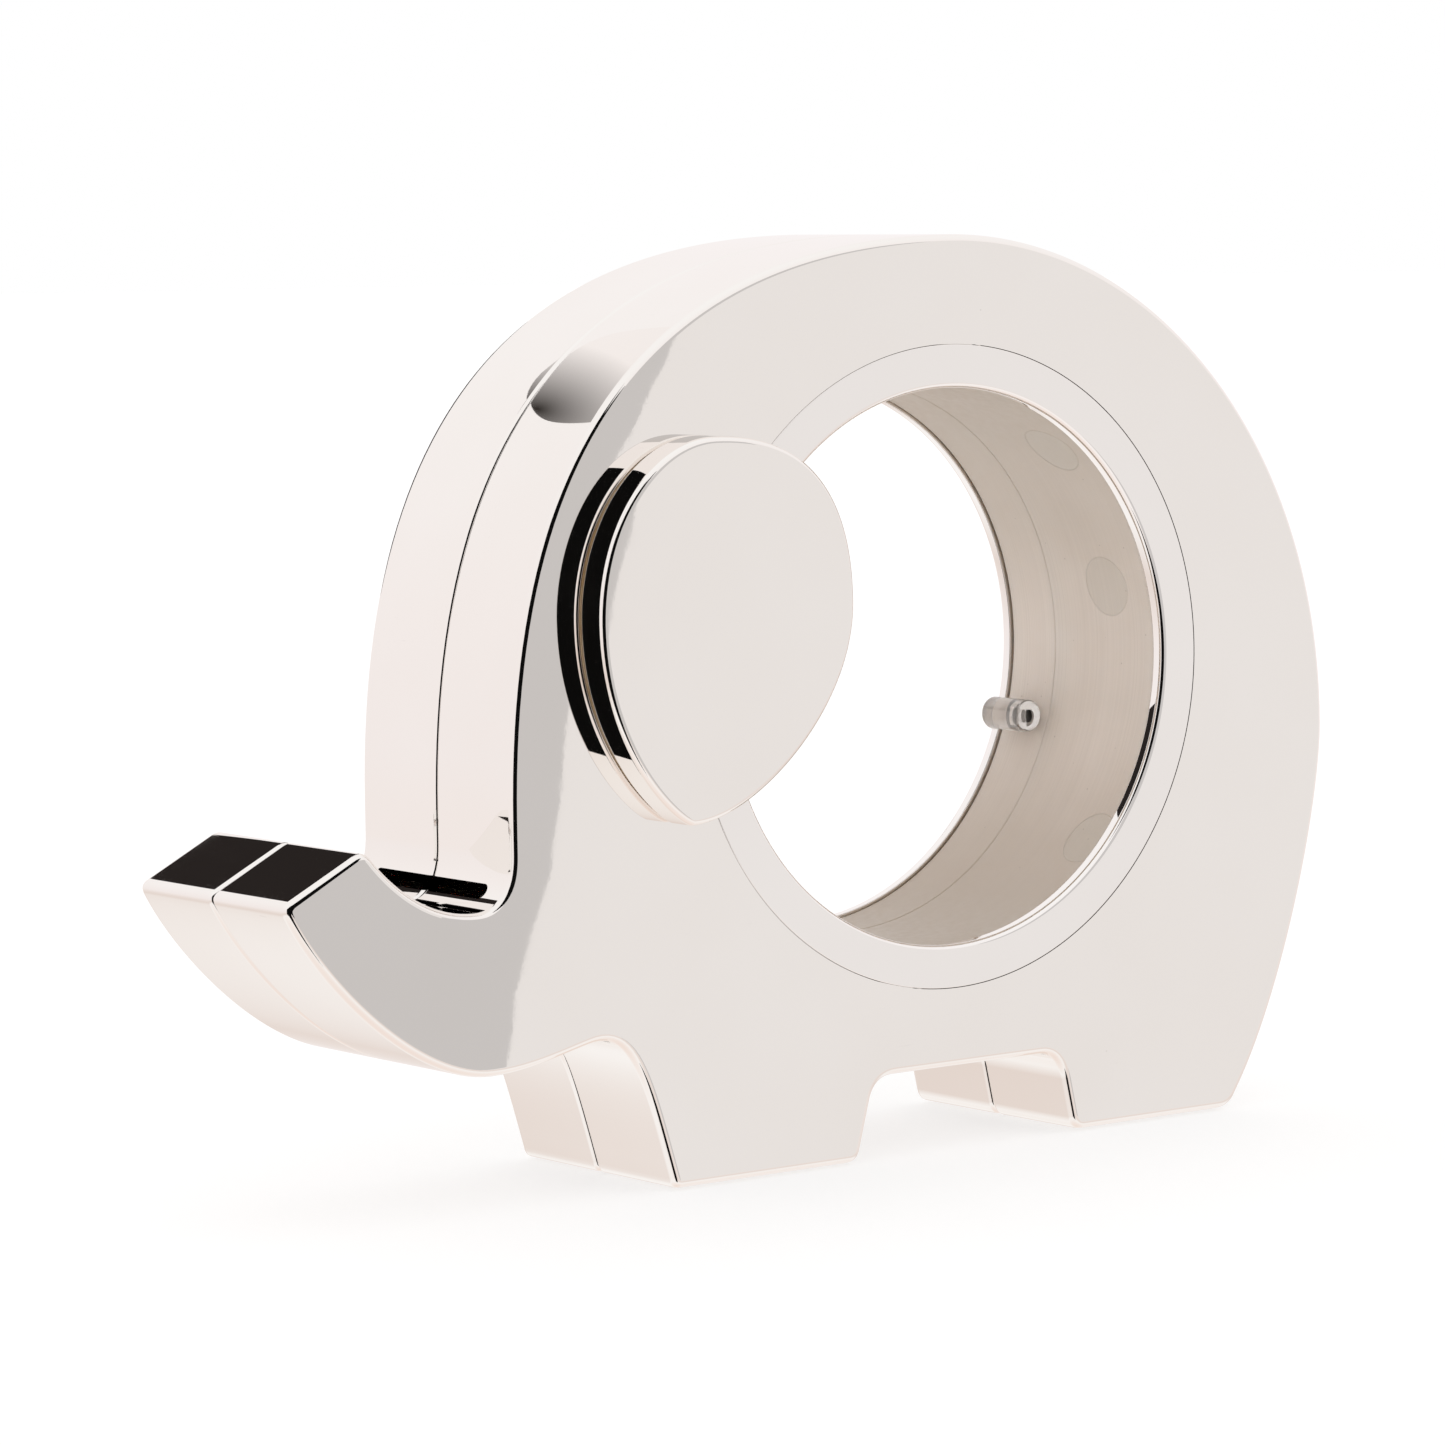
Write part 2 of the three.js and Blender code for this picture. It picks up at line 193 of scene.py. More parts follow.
def room_outline():
    """The room for the tape: one wall inside the rim, closed off from the trunk and legs."""
    rim = joined(brow_curve, back_curve, rump_curve[:21])
    wall = []
    for index, place in enumerate(rim):
        along = (rim[min(index + 1, len(rim) - 1)] - rim[max(index - 1, 0)]).normalized()
        wall.append(place + Vector((along.y, -along.x)) * RIM_WALL)
    corners = ((52, -45.5), (48, -48.6), (-38, -48.6), (-44, -43), (-50, -38.5), (-58, -36.5))
    return joined([Vector((-65.2, -28))], wall, [Vector(corner) for corner in corners])


def inset(outline, distance):
    """Moves a clockwise outline inwards. Edges of corners tighter than the distance close up."""
    count = len(outline)
    ways = [(outline[(i + 1) % count] - outline[i]).normalized() for i in range(count)]
    closed = set()

    def corner(before, after):
        a, b = ways[before], ways[after]
        p = outline[before] + Vector((a.y, -a.x)) * distance
        q = outline[after] + Vector((b.y, -b.x)) * distance
        turn = a.x * b.y - a.y * b.x
        if abs(turn) < 1e-5:
            return q
        return p + a * (((q - p).x * b.y - (q - p).y * b.x) / turn)

    def nearest(index, step):
        while index % count in closed:
            index += step
        return index % count

    while True:
        moved = [corner(nearest(i - 1, -1), nearest(i, 1)) for i in range(count)]
        turned_back = {
            i for i in range(count)
            if i not in closed and (moved[(i + 1) % count] - moved[i]).dot(ways[i]) < 0
        }
        if not turned_back:
            return moved
        closed |= turned_back


def quarter(radius):
    """(inset, setback) pairs of a rounded edge, from the wall to the face."""
    angles = [math.pi / 2 * step / ROUND_STEPS for step in range(ROUND_STEPS + 1)]
    return [(radius * (1 - math.cos(a)), radius * (1 - math.sin(a))) for a in angles]


def circle(radius, segments, spot=(0, 0)):
    """A clockwise circle about a place."""
    angles = [2 * math.pi * step / segments for step in range(segments)]
    return [Vector(spot) + Vector((math.cos(a), -math.sin(a))) * radius for a in angles]


def rectangle(length, width, corner, steps=4):
    """A clockwise rectangle with round corners about the origin, from its half sides."""
    ends = ((-length, -width), (-length, width), (length, width), (length, -width))
    return rounded([(*end, corner) for end in ends], steps)


def rounded(corners, steps=4):
    """A closed section from (across, along, radius) corners, each one softened by an arc."""
    section = []
    count = len(corners)
    for index, (x, y, radius) in enumerate(corners):
        here = Vector((x, y))
        if not radius:
            section.append(here)
            continue
        before = (Vector(corners[index - 1][:2]) - here).normalized()
        after = (Vector(corners[(index + 1) % count][:2]) - here).normalized()
        half = before.angle(after) / 2
        reach = radius / math.tan(half)
        middle = here + (before + after).normalized() * (radius / math.sin(half))
        first = here + before * reach - middle
        last = here + after * reach - middle
        sweep = first.angle_signed(last)
        for step in range(steps + 1):
            turn = Matrix.Rotation(-sweep * step / steps, 2)
            section.append(middle + turn @ first)
    return section


# ---- meshes --------------------------------------------------------------------------------
def side_view(u, v, w):
    """Side-view coordinates (x, z) and station y to the shared frame."""
    return HUB + Vector((u, w, v)) * MM


def skin(bm, loops, cyclic=False):
    """Quads between successive loops of equal length, with a face on each open end."""
    pairs = list(zip(loops, loops[1:]))
    if cyclic:
        pairs.append((loops[-1], loops[0]))
    else:
        bm.faces.new(list(reversed(loops[0])))
        bm.faces.new(loops[-1])
    for low, high in pairs:
        for i in range(len(low)):
            j = (i + 1) % len(low)
            bm.faces.new((low[i], low[j], high[j], high[i]))


def prism(outline, stations, put=side_view):
    """A solid through copies of an outline: stations are (inset, place along the axis)."""
    bm = bmesh.new()
    loops = []
    for distance, w in stations:
        ring = inset(outline, distance) if distance else outline
        loops.append([bm.verts.new(put(place.x, place.y, w)) for place in ring])
    skin(bm, loops)
    bmesh.ops.remove_doubles(bm, verts=bm.verts, dist=2e-7)
    bmesh.ops.dissolve_degenerate(bm, edges=bm.edges, dist=1e-7)
    bmesh.ops.recalc_face_normals(bm, faces=bm.faces)
    return bm


def rounded_stations(start, end, start_round, end_round):
    """Stations of a prism between two ends with rounded edges."""
    way = 1 if end > start else -1
    first, last = [(0, start)], [(0, end)]
    if start_round:
        first = [(i, start + way * s) for i, s in reversed(quarter(start_round))]
    if end_round:
        last = [(i, end - way * s) for i, s in quarter(end_round)]
    return first + last


def turned(section):
    """A ring about the hub's axis, from its closed section of (radius, y)."""
    bm = bmesh.new()
    loops = []
    for step in range(HUB_SEGMENTS):
        angle = 2 * math.pi * step / HUB_SEGMENTS
        reach = Vector((math.cos(angle), math.sin(angle)))
        loops.append([bm.verts.new(side_view(reach.x * r, reach.y * r, y)) for r, y in section])
    skin(bm, loops, cyclic=True)
    bmesh.ops.recalc_face_normals(bm, faces=bm.faces)
    return bm


def bar(radius, spot, start, end, edge=0.0, segments=64):
    """A round bar along Y with rounded or plain ends."""
    return prism(circle(radius, segments, spot), rounded_stations(start, end, edge, edge))


def box(low, high, turn=None, centre=None):
    """A plain block used for cutting, optionally turned about a centre."""
    bm = bmesh.new()
    bmesh.ops.create_cube(bm, size=1)
    low, high = Vector(low), Vector(high)
    for vert in bm.verts:
        place = Vector([(l + h) / 2 + c * (h - l) for l, h, c in zip(low, high, vert.co)])
        if turn:
            place = turn @ (place - Vector(centre)) + Vector(centre)
        vert.co = HUB + place * MM
    return bm


def object_from(bm, name):
    mesh = bpy.data.meshes.new(name)
    bm.to_mesh(mesh)
    bm.free()
    made = bpy.data.objects.new(name, mesh)
    bpy.context.scene.collection.objects.link(made)
    return made


def bake_modifiers(made):
    """Applies the modifiers of an object to its mesh."""
    graph = bpy.context.evaluated_depsgraph_get()
    mesh = bpy.data.meshes.new_from_object(made.evaluated_get(graph))
    old = made.data
    made.modifiers.clear()
    made.data = mesh
    bpy.data.meshes.remove(old)
    mesh.name = made.name


def combine(made, parts, operation):
    """Cuts parts off an object, or joins them to it."""
    cutters = [object_from(part, "cutter") for part in parts]
    for cutter in cutters:
        change = made.modifiers.new("combine", "BOOLEAN")
        change.operation = operation
        change.solver = "MANIFOLD"
        change.object = cutter
    bake_modifiers(made)
    for cutter in cutters:
        mesh = cutter.data
        bpy.data.objects.remove(cutter)
        bpy.data.meshes.remove(mesh)


def smooth(made, angle):
    """Smooth shading that keeps flats flat: sharp edges by angle, normals weighted by face area."""
    made.data.shade_smooth()
    made.data.set_sharp_from_angle(angle=math.radians(angle))
    weighted = made.modifiers.new("weighted_normals", "WEIGHTED_NORMAL")
    weighted.mode = "FACE_AREA"
    weighted.weight = 100
    weighted.keep_sharp = True
    bake_modifiers(made)


def finish_piece(made, body, slot, material, *nodes, sharp_angle=32):
    """Shades a finished piece, gives it its material, hangs it on its body and hides the parts that
    it stands for.
    """
    smooth(made, sharp_angle)
    made.data.materials.clear()
    made.data.materials.append(material)
    for face in made.data.polygons:
        face.material_index = 0
    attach(made, body)
    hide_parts(*nodes)


# ---- materials -----------------------------------------------------------------------------
class Surface:
    """A material with a Principled shader and short ways to add nodes to it."""

    def __init__(self, name, **constants):
        self.material = bpy.data.materials.new(name)
        self.material.use_nodes = True
        self.tree = self.material.node_tree
        self.shader = self.tree.nodes["Principled BSDF"]
        for socket, value in constants.items():
            self.shader.inputs[socket.replace("_", " ")].default_value = value
        self.place = self.tree.nodes.new("ShaderNodeTexCoord").outputs["Object"]

    def add(self, kind, inputs=None, **settings):
        node = self.tree.nodes.new(kind)
        for key, value in settings.items():
            setattr(node, key, value)
        for key, value in (inputs or {}).items():
            if isinstance(value, bpy.types.NodeSocket):
                self.tree.links.new(value, node.inputs[key])
            else:
                node.inputs[key].default_value = value
        return node

    def stretched(self, scale, turn=(0, 0, 0)):
        inputs = {"Vector": self.place, "Scale": scale, "Rotation": turn}
        return self.add("ShaderNodeMapping", inputs).outputs["Vector"]

    def noise(self, scale, detail, vector=None):
        inputs = {"Vector": vector or self.place, "Scale": scale, "Detail": detail}
        return self.add("ShaderNodeTexNoise", inputs).outputs["Fac"]

    def cells(self, scale):
        inputs = {"Vector": self.place, "Scale": scale}
        return self.add("ShaderNodeTexVoronoi", inputs).outputs["Distance"]

    def spread(self, value, low, high, out_low=0.0, out_high=1.0):
        inputs = {"Value": value, "From Min": low, "From Max": high}
        inputs.update({"To Min": out_low, "To Max": out_high})
        return self.add("ShaderNodeMapRange", inputs).outputs["Result"]

    def blotches(self, scale, detail, low, high, first, second):
        """A colour that drifts between two colours, the way a noise does between two levels."""
        return self.mix(self.spread(self.noise(scale, detail), low, high), first, second)

    def near(self, place, inner, outer):
        """One within the inner distance of a place (x, y, z in mm from the hub's centre), zero past
        the outer one."""
        inputs = {0: self.place, 1: HUB + Vector(place) * MM}
        away = self.add("ShaderNodeVectorMath", inputs, operation="DISTANCE").outputs["Value"]
        return self.spread(away, inner * MM, outer * MM, 1, 0)

    def math(self, operation, first, second):
        return self.add("ShaderNodeMath", {0: first, 1: second}, operation=operation).outputs[0]

    def mix(self, amount, first, second):
        node = self.add("ShaderNodeMix", data_type="RGBA")
        for index, value in ((0, amount), (6, first), (7, second)):
            if isinstance(value, bpy.types.NodeSocket):
                self.tree.links.new(value, node.inputs[index])
            else:
                node.inputs[index].default_value = value
        return node.outputs[2]

    def bump(self, height, distance, normal=None):
        inputs = {"Height": height, "Distance": distance, "Strength": 1.0}
        if normal:
            inputs["Normal"] = normal
        return self.add("ShaderNodeBump", inputs).outputs["Normal"]

    def set(self, socket, value):
        self.tree.links.new(value, self.shader.inputs[socket])


def plated(name, bright, dull, wave):
    """Mirror plating: a slow wave, fine peel, faint hairlines and a few specks."""
    s = Surface(name, Metallic=1.0)
    colour = s.blotches(38, 3, 0.3, 0.7, bright, dull)
    specks = s.spread(s.cells(150), 0.012, 0.03, 1, 0)
    patches = s.spread(s.noise(55, 2), 0.56, 0.6)
    dots = s.math("MULTIPLY", specks, patches)
    hair = s.noise(1, 3, s.stretched((260, 260, 3400), (0.5, 0.8, 0.3)))
    lines = s.spread(hair, 0.70, 0.78, 0, 0.5)
    few = s.math("MULTIPLY", lines, s.spread(s.noise(60, 2), 0.56, 0.7))
    marks = s.math("MAXIMUM", dots, few)
    s.set("Base Color", s.mix(s.math("MULTIPLY", marks, 0.3), colour, (0.42, 0.38, 0.35, 1)))
    haze = s.spread(s.noise(140, 4), 0.35, 0.75, 0.012, 0.03)
    s.set("Roughness", s.math("ADD", haze, s.math("MULTIPLY", marks, 0.12)))
    slow = s.bump(s.noise(70, 1), wave)
    peel = s.bump(s.noise(1100, 2), wave * 0.018, slow)
    s.set("Normal", s.bump(marks, 2e-6, peel))
    return s.material


def frosted():
    """Moulded frosted plastic: fine turned lines, mottling, a soft satin shine, and painted shade
    that darkens it above and below the hub's middle height.
    """
    s = Surface("frosted_moulding", IOR=1.49, Subsurface_Weight=0.35, Subsurface_Scale=0.002)
    s.shader.inputs["Subsurface Radius"].default_value = (1.0, 0.85, 0.7)
    colour = s.blotches(60, 4, 0.3, 0.7, (0.80, 0.71, 0.63, 1), (0.88, 0.80, 0.73, 1))
    # Painted shade: the sleeve's colour darkens with height above or below the hub's middle, in
    # place of the shade inside the hole.
    height = s.add("ShaderNodeSeparateXYZ", {0: s.place}).outputs["Z"]
    painted_shade_rise = s.math("ABSOLUTE", s.math("SUBTRACT", height, HUB.z), 0.0)
    colour = s.mix(s.spread(painted_shade_rise, 0.01, 0.036, 0, 0.95), colour, (0.47, 0.385, 0.30, 1))
    turned_lines = s.noise(1, 3, s.stretched((12, 5200, 12)))
    colour = s.mix(s.spread(turned_lines, 0.35, 0.75, 0, 0.22), colour, (0.52, 0.45, 0.39, 1))
    drift = s.spread(s.noise(1, 2, s.stretched((34, 9, 34))), 0.35, 0.7, 0, 0.55)
    colour = s.mix(drift, colour, (0.56, 0.50, 0.425, 1))
    marks = 0.0
    for y, angle in EJECTOR_MARKS:
        turn = math.radians(angle)
        spot = (SLEEVE_INNER * math.cos(turn), y, SLEEVE_INNER * math.sin(turn))
        marks = s.math("ADD", s.near(spot, 3.85, 4.05), marks)
    colour = s.mix(s.math("MULTIPLY", marks, 0.35), colour, (0.56, 0.52, 0.45, 1))
    dust = s.spread(s.cells(420), 0.03, 0.06, 0.5, 0)
    s.set("Base Color", s.mix(dust, colour, (0.36, 0.30, 0.25, 1)))
    s.set("Roughness", s.spread(s.noise(900, 3), 0.3, 0.7, 0.28, 0.42))
    grain = s.bump(s.noise(5200, 2), 6e-6)
    lined = s.bump(turned_lines, 8e-6, grain)
    s.set("Normal", s.bump(marks, 1e-4, lined))
    return s.material


def clear():
    """Clear moulded plastic, with painted shade inside the socket: there it is dark and lets no
    light through.
    """
    s = Surface("clear_moulding", IOR=1.49)
    colour = s.blotches(500, 3, 0.3, 0.7, (0.96, 0.94, 0.92, 1), (0.86, 0.82, 0.78, 1))
    spot = (PEG_ORBIT * math.cos(PEG_ANGLE), PEG_SPAN[0] + 0.9, PEG_ORBIT * math.sin(PEG_ANGLE))
    # Painted shade: a dark, unclear spot at the socket stands in for the shade in its recess.
    inside = s.near(spot, 1.0, 1.25)
    s.set("Base Color", s.mix(inside, colour, (0.03, 0.025, 0.02, 1)))
    s.set("Transmission Weight", s.spread(inside, 0, 1, 0.8, 0))
    s.set("Roughness", s.spread(s.noise(900, 3), 0.3, 0.7, 0.05, 0.14))
    s.set("Normal", s.bump(s.noise(900, 2), 8e-6))
    return s.material


def shim():
    """Amber adhesive layer under a glossy skin."""
    s = Surface("amber_shim", IOR=1.47, Coat_Weight=0.3)
    colour = s.blotches(120, 4, 0.35, 0.65, (0.72, 0.50, 0.27, 1), (0.90, 0.77, 0.58, 1))
    s.set("Base Color", colour)
    s.set("Roughness", s.spread(s.noise(700, 3), 0.3, 0.7, 0.25, 0.45))
    s.set("Normal", s.bump(s.noise(900, 3), 1.5e-5))
    return s.material


def steel():
    """Satin steel with a drawn grain."""
    s = Surface("satin_steel", Metallic=1.0, Anisotropic=0.4)
    grain = s.noise(1, 3, s.stretched((500, 60, 4200)))
    tone = s.spread(grain, 0.3, 0.7)
    s.set("Base Color", s.mix(tone, (0.60, 0.60, 0.61, 1), (0.74, 0.74, 0.74, 1)))
    s.set("Roughness", s.spread(grain, 0.3, 0.7, 0.2, 0.36))
    s.set("Normal", s.bump(grain, 3e-6))
    return s.material


def nickel():
    """Thin nickel plating on a magnet."""
    s = Surface("nickel_magnet", Metallic=1.0)
    colour = s.blotches(300, 4, 0.3, 0.7, (0.56, 0.55, 0.54, 1), (0.66, 0.65, 0.64, 1))
    s.set("Base Color", colour)
    s.set("Roughness", s.spread(s.noise(900, 4), 0.3, 0.7, 0.12, 0.3))
    s.set("Normal", s.bump(s.noise(1500, 3), 3e-6))
    return s.material


def rubber():
    """Matte, slightly translucent rubber."""
    s = Surface("pad_rubber", IOR=1.43, Subsurface_Weight=0.3, Subsurface_Scale=0.001)
    colour = s.blotches(260, 4, 0.3, 0.7, (0.58, 0.56, 0.53, 1), (0.68, 0.66, 0.63, 1))
    s.set("Base Color", colour)
    s.set("Roughness", s.spread(s.noise(1500, 3), 0.3, 0.7, 0.6, 0.85))
    s.set("Normal", s.bump(s.noise(2600, 4), 3e-5))
    return s.material


SILVER = plated("silver_plating", (0.935, 0.905, 0.88, 1), (0.92, 0.885, 0.855, 1), 1.6e-5)
RING_SILVER = plated("ring_plating", (0.945, 0.918, 0.90, 1), (0.93, 0.90, 0.88, 1), 4e-6)
FROSTED = frosted()
CLEAR = clear()
SHIM = shim()
STEEL = steel()
NICKEL = nickel()
RUBBER = rubber()


# ---- half shells ---------------------------------------------------------------------------
LEDGE_OUT = HALF_THICKNESS - RING_THICKNESS - PLAY
LEDGE_IN = LEDGE_OUT - LEDGE_THICKNESS
ROOM_DEPTH = HALF_THICKNESS - SIDE_WALL


def circle_band(inner, outer, low, high):
    """A ring of rectangular section about the hub's axis."""
    corners = ((inner, low), (inner, high), (outer, high), (outer, low))
    return turned([Vector(corner) for corner in corners])


def tilted_box(centre, size, tilt, grow):
    """A block in the side view, leaning by an angle about Y."""
    half = [side / 2 + grow for side in size]
    middle = Vector((centre[0], 0, centre[1]))
    turn = Matrix.Rotation(-tilt, 3, "Y")
    return box(middle - Vector(half), middle + Vector(half), turn, middle)


def screw_holes(side, end):
    """The ear screws' holes, up to a station."""
    return [
        bar(SCREW_RADIUS + PLAY, spot, side * SCREW_BORE[0], side * end, segments=32)
        for spot in EAR_SCREW_PLACES.values()
    ]


def outlet_slot():
    """The slot that lets the tape out, with round ends."""
    def put(u, v, w):
        return HUB + Vector((SLOT_CENTRE[0] + w, u, SLOT_CENTRE[1] + v)) * MM

    long, tall = SLOT_LENGTH / 2, SLOT_HEIGHT / 2
    end = rectangle(long, tall, tall * 0.98, 8)
    return prism(end, [(0, -SLOT_REACH), (0, SLOT_REACH)], put)


def pad_solid(spot, side, grow, edge):
    """A foot pad from its place and length along X, grown by a little for its seat."""
    def put(u, v, w):
        return HUB + Vector((u, side * PAD_STATION + v, w)) * MM

    plan = rectangle(spot[1] / 2 + grow, PAD_WIDTH / 2 + grow, PAD_CORNER)
    outline = [place + Vector((spot[0], 0)) for place in plan]
    low = FOOT_LEVEL - PAD_PROUD
    high = low + PAD_THICKNESS + grow
    return prism(outline, rounded_stations(low, high, edge, 0), put)


def shell(name, side):
    """A hollow half of the elephant, with a ledge, bosses, seats and holes for what it carries."""
    walls = rounded_stations(side * SEAM_GAP, side * HALF_THICKNESS, SEAM_ROUND, SIDE_ROUND)
    made = object_from(prism(body_outline(), walls), f"{name}_shell_plated")
    room_stations = [(0, -side), (0, side * (ROOM_DEPTH - ROOM_ROUND))]
    room_stations += [(i, side * (ROOM_DEPTH - s)) for i, s in quarter(ROOM_ROUND)]
    combine(made, [prism(room_outline(), room_stations)], "DIFFERENCE")
    in_wall = side * (HALF_THICKNESS - 0.5)
    ledge = circle_band(HOLE_RADIUS - 4, LEDGE_RADIUS, side * LEDGE_IN, in_wall)
    boss_span = (side * SPLIT_GAP, side * (HALF_THICKNESS - 1))
    magnet_boss = MAGNET_RADIUS + PLAY + BOSS_WALL
    pin_boss = PIN_RADIUS + PLAY + BOSS_WALL
    bosses = [bar(magnet_boss, spot, *boss_span) for spot in MAGNET_PLACES.values()]
    bosses += [bar(pin_boss, spot, *boss_span) for spot in PIN_PLACES.values()]
    combine(made, [ledge, *bosses], "UNION")
    outside = side * (HALF_THICKNESS + 2)
    magnet_depth = side * (SPLIT_GAP + MAGNET_THICKNESS + 2 * PLAY)
    pin_depth = side * (PIN_LENGTH / 2 + PLAY)
    cuts = [
        bar(SLEEVE_OUTER + 2 * PLAY, (0, 0), -side, outside, segments=HUB_SEGMENTS),
        bar(RING_SEAT_RADIUS, (0, 0), side * LEDGE_OUT, outside, segments=HUB_SEGMENTS),
        *(bar(MAGNET_RADIUS + PLAY, spot, -side, magnet_depth) for spot in MAGNET_PLACES.values()),
        *(bar(PIN_RADIUS + PLAY, spot, -side, pin_depth, segments=40)
          for spot in PIN_PLACES.values()),
        *screw_holes(side, SCREW_BORE[1]),
        *(pad_solid(spot, side, PLAY, 0) for spot in PAD_PLACES.values()),
        outlet_slot(),
        tilted_box(BLADE_CENTRE, BLADE_SIZE, BLADE_TILT, PLAY),
    ]
    combine(made, cuts, "DIFFERENCE")
    finish_piece(made, f"{name}_half", "silver_plate", SILVER, f"{name}_shell")


def ring_plate(name, side):
    """The flush ring round the hole, with a round lip at its bore."""
    front, back = side * HALF_THICKNESS, side * (HALF_THICKNESS - RING_THICKNESS)
    corners = (
        (HOLE_RADIUS, back, RING_RIM_ROUND), (HOLE_RADIUS, front, RING_BORE_ROUND),
        (RING_RADIUS, front, RING_RIM_ROUND), (RING_RADIUS, back, 0.1),
    )
    made = object_from(turned(rounded(corners, 6)), f"{name}_ring_plated")
    finish_piece(made, f"{name}_half", "silver_ring", RING_SILVER, f"{name}_ring_plate")


# ---- ears ----------------------------------------------------------------------------------
def ear_plate(name, side):
    """One ear, held by two screws from inside the half shell."""
    low, high = EAR_PLATE_SPAN
    stations = rounded_stations(side * low, side * high, *EAR_PLATE_ROUNDS)
    made = object_from(prism(ear_outline(), stations), f"{name}_ear_plated")
    combine(made, screw_holes(side, SCREW_TIP + PLAY), "DIFFERENCE")
    finish_piece(made, f"{name}_half", "silver_plate", SILVER, f"{name}_ear_plate")


def ear_shim(name, side):
    """The thin layer under an ear, clear of the ring plate and the hole."""
    low, high = EAR_SHIM_SPAN
    outline = inset(ear_outline(), EAR_SHIM_INSET)
    stations = rounded_stations(side * low, side * high, 0.05, 0.05)
    made = object_from(prism(outline, stations), f"{name}_ear_shim_layer")
    ring = bar(RING_SEAT_RADIUS + PLAY, (0, 0), side * 10, side * 20, segments=HUB_SEGMENTS)
    combine(made, [ring, *screw_holes(side, SCREW_TIP + PLAY)], "DIFFERENCE")
    finish_piece(made, f"{name}_half", "ear_shim", SHIM, f"{name}_ear_shim")


def ear_screw(name, side, where, spot):
    """A pan-head screw along Y with a cross recess."""
    under_head = side * (ROOM_DEPTH - PLAY)
    top = under_head - side * SCREW_HEAD_HEIGHT
    head = bar(SCREW_HEAD_RADIUS, spot, under_head, top, 0.45, 48)
    made = object_from(head, f"{name}_ear_{where}_screw_piece")
    shank = bar(SCREW_RADIUS, spot, under_head - side * 0.5, side * SCREW_TIP, 0.3, 32)
    combine(made, [shank], "UNION")
    x, z = spot
    long, narrow, depth = SCREW_RECESS
    low, high = sorted((top - side * 0.2, top + side * depth))
    combine(made, [
        box((x - long, low, z - narrow), (x + long, high, z + narrow)),
        box((x - narrow, low, z - long), (x + narrow, high, z + long)),
    ], "DIFFERENCE")
    finish_piece(made, f"{name}_half", "steel", STEEL, f"{name}_ear_{where}_screw")


# ---- small parts ---------------------------------------------------------------------------
def magnet(name, side, where, spot):
    start = side * (SPLIT_GAP + PLAY)
    disc = bar(MAGNET_RADIUS, spot, start, start + side * MAGNET_THICKNESS, MAGNET_ROUND)
    made = object_from(disc, f"{name}_{where}_magnet_disc")
    finish_piece(made, f"{name}_half", "magnet", NICKEL, f"{name}_{where}_magnet")


def foot_pad(name, side, where, spot):
    made = object_from(pad_solid(spot, side, 0, PAD_ROUND), f"{name}_{where}_pad_rubber")
    finish_piece(made, f"{name}_half", "foot_pad", RUBBER, f"{name}_{where}_foot_pad")


def locating_pin(where, spot):
    pin = bar(PIN_RADIUS, spot, -PIN_LENGTH / 2, PIN_LENGTH / 2, PIN_ROUND, 40)
    made = object_from(pin, f"{where}_pin_steel")
    finish_piece(made, "right_half", "steel", STEEL, f"{where}_locating_pin")


def cutter_blade():
    """A strip with saw teeth, ground thin towards their tips."""
    thick, wide, tall = BLADE_SIZE
    pitch = wide / BLADE_TEETH
    turn = Matrix.Rotation(-BLADE_TILT, 3, "Y")
    middle = Vector((BLADE_CENTRE[0], 0, BLADE_CENTRE[1]))

    def put(across, up, through):
        return HUB + (turn @ Vector((through, across, up)) + middle) * MM

    bm = bmesh.new()
    root = tall / 2 - TOOTH_HEIGHT
    profile = [(-wide / 2, -tall / 2, 1), (wide / 2, -tall / 2, 1), (wide / 2, root, 1)]
    for tooth in range(BLADE_TEETH, 0, -1):
        edge = -wide / 2 + tooth * pitch
        profile.append((edge - pitch / 2, tall / 2, 0.25))
        profile.append((edge - pitch, root, 1))
    loops = [
        [bm.verts.new(put(across, up, face * thick / 2 * full)) for across, up, full in profile]
        for face in (-1, 1)
    ]
    skin(bm, loops)
    bmesh.ops.recalc_face_normals(bm, faces=bm.faces)
    made = object_from(bm, "tape_cutter_blade_steel")
    finish_piece(made, "right_half", "steel", STEEL, "tape_cutter_blade", sharp_angle=12)


# ---- spool hub -----------------------------------------------------------------------------
def radial_bar(radius, start, end, edge=0.0):
    """A round bar along the hub's radius through the middle of the peg."""
    reach = Vector((math.cos(PEG_ANGLE), 0, math.sin(PEG_ANGLE)))
    across = Vector((-math.sin(PEG_ANGLE), 0, math.cos(PEG_ANGLE)))
    station = (PEG_SPAN[0] + PEG_SPAN[1]) / 2

    def put(u, v, w):
        return HUB + (reach * w + across * u + Vector((0, station + v, 0))) * MM

    return prism(circle(radius, 48), rounded_stations(start, end, edge, edge), put)


def long_sleeve():
    """The sleeve whose inner step takes the short sleeve's spigot."""
    end, step = LEDGE_OUT, (SLEEVE_INNER + SLEEVE_OUTER) / 2 - PLAY / 2
    corners = (
        (SLEEVE_OUTER, -end, 0.2), (SLEEVE_OUTER, SLEEVE_JOIN_Y - SPIGOT_LENGTH, 0.1),
        (step, SLEEVE_JOIN_Y - SPIGOT_LENGTH, 0), (step, SLEEVE_JOIN_Y, 0.1),
        (SLEEVE_INNER, SLEEVE_JOIN_Y, 0.22), (SLEEVE_INNER, -end, 0.25),
    )
    made = object_from(turned(rounded(corners)), "hub_long_sleeve_moulding")
    finish_piece(made, "hub", "frosted_plastic", FROSTED, "hub_long_sleeve")


